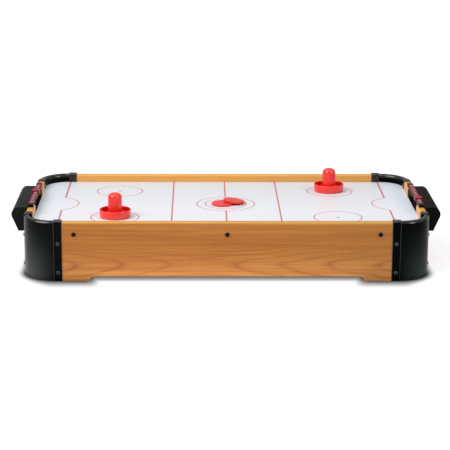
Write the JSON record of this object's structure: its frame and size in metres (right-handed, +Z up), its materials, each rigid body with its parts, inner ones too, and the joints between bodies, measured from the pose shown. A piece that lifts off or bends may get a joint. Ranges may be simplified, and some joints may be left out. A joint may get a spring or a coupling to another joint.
{
  "type": "air hockey table",
  "caption": "Tabletop air hockey table: wooden box with moulded corners, blown white field, goal boxes, sliding score markers, pushers and pucks.",
  "frame": {"origin": "centre of the footprint, on the floor that the feet stand on", "axes": "+X along the table from the left goal to the right goal, +Y from the front panel to the back panel, +Z up"},
  "size_m": [0.7462, 0.3764, 0.132],
  "materials": {
    "wood_foil": "satin printed wood foil",
    "plain_wood": "sawn",
    "white_board": "semi-gloss, printed with red lines",
    "black_plastic": "satin moulded",
    "grey_plastic": "moulded",
    "tray_plastic": "vacuum formed",
    "red_plastic": "gloss",
    "maroon_plastic": "satin, printed numbers",
    "black_steel": "black oxide",
    "steel": "plated",
    "battery_wrap": "plain wrap",
    "lead_rubber": "matte"
  },
  "bodies": {
    "table": {"side_panel_front": "wood_foil", "side_panel_back": "wood_foil", "end_panel_left": "wood_foil", "end_panel_right": "wood_foil", "corner_front_left": "black_plastic", "corner_front_right": "black_plastic", "corner_back_left": "black_plastic", "corner_back_right": "black_plastic", "playing_field": "white_board", "field_rail_front": "plain_wood", "field_rail_back": "plain_wood", "air_chamber_tray": "tray_plastic", "side_bolt_front_left": "black_steel", "side_bolt_front_middle": "black_steel", "side_bolt_front_right": "black_steel", "side_bolt_back_left": "black_steel", "side_bolt_back_middle": "black_steel", "side_bolt_back_right": "black_steel", "goal_box_left": "black_plastic", "goal_box_right": "black_plastic", "score_frame_left": "black_plastic", "score_frame_right": "black_plastic", "score_strip_left": "maroon_plastic", "score_strip_right": "maroon_plastic", "fan_housing": "grey_plastic", "fan_motor": "steel", "fan_grille": "grey_plastic", "battery_box": "grey_plastic", "battery_1": "battery_wrap", "battery_2": "battery_wrap", "battery_3": "battery_wrap", "battery_4": "battery_wrap", "switch_housing": "black_plastic", "battery_lead": "lead_rubber", "motor_lead": "lead_rubber", "side_screw_front_left_low": "black_steel", "end_screw_front_left_low": "black_steel", "side_screw_front_left_high": "black_steel", "end_screw_front_left_high": "black_steel", "side_screw_back_left_low": "black_steel", "end_screw_back_left_low": "black_steel", "side_screw_back_left_high": "black_steel", "end_screw_back_left_high": "black_steel", "side_screw_front_right_low": "black_steel", "end_screw_front_right_low": "black_steel", "side_screw_front_right_high": "black_steel", "end_screw_front_right_high": "black_steel", "side_screw_back_right_low": "black_steel", "end_screw_back_right_low": "black_steel", "side_screw_back_right_high": "black_steel", "end_screw_back_right_high": "black_steel"},
    "left_score_marker": {"score_slider_left": "red_plastic"},
    "right_score_marker": {"score_slider_right": "red_plastic"},
    "left_pusher": {"pusher_left": "red_plastic"},
    "right_pusher": {"pusher_right": "red_plastic"},
    "flat_puck": {"puck_flat": "red_plastic"},
    "leaning_puck": {"puck_leaning": "red_plastic"},
    "fan_rotor": {"fan_impeller": "black_plastic"},
    "power_rocker": {"switch_rocker": "red_plastic"},
    "battery_cover": {"battery_lid": "grey_plastic"}
  },
  "joints": [
    {"name": "left_score_slide", "type": "slide", "parent": "table", "child": "left_score_marker", "axis": [0, 1, 0], "range_m": [-0.0835, 0.0435]},
    {"name": "right_score_slide", "type": "slide", "parent": "table", "child": "right_score_marker", "axis": [0, 1, 0], "range_m": [-0.0305, 0.0965]},
    {"name": "left_pusher_slide", "type": "slide", "parent": "table", "child": "left_pusher", "axis": [1, 0, 0], "range_m": [-0.112, 0.164]},
    {"name": "right_pusher_slide", "type": "slide", "parent": "table", "child": "right_pusher", "axis": [1, 0, 0], "range_m": [-0.163, 0.113]},
    {"name": "flat_puck_slide", "type": "slide", "parent": "table", "child": "flat_puck", "axis": [1, 0, 0], "range_m": [-0.3, 0]},
    {"name": "leaning_puck_lift", "type": "slide", "parent": "table", "child": "leaning_puck", "axis": [0, 0, 1], "range_m": [0, 0.06]},
    {"name": "fan_spin", "type": "hinge", "parent": "table", "child": "fan_rotor", "pos_m": [0, 0, 0.0628], "axis": [0, 0, 1], "continuous": true},
    {"name": "rocker_tilt", "type": "hinge", "parent": "table", "child": "power_rocker", "pos_m": [0.19, 0.184, 0.045], "axis": [0, 0, 1], "range_deg": [0, 14]},
    {"name": "battery_lid_slide", "type": "slide", "parent": "table", "child": "battery_cover", "axis": [0, -1, 0], "range_m": [0, 0.058]}
  ]
}
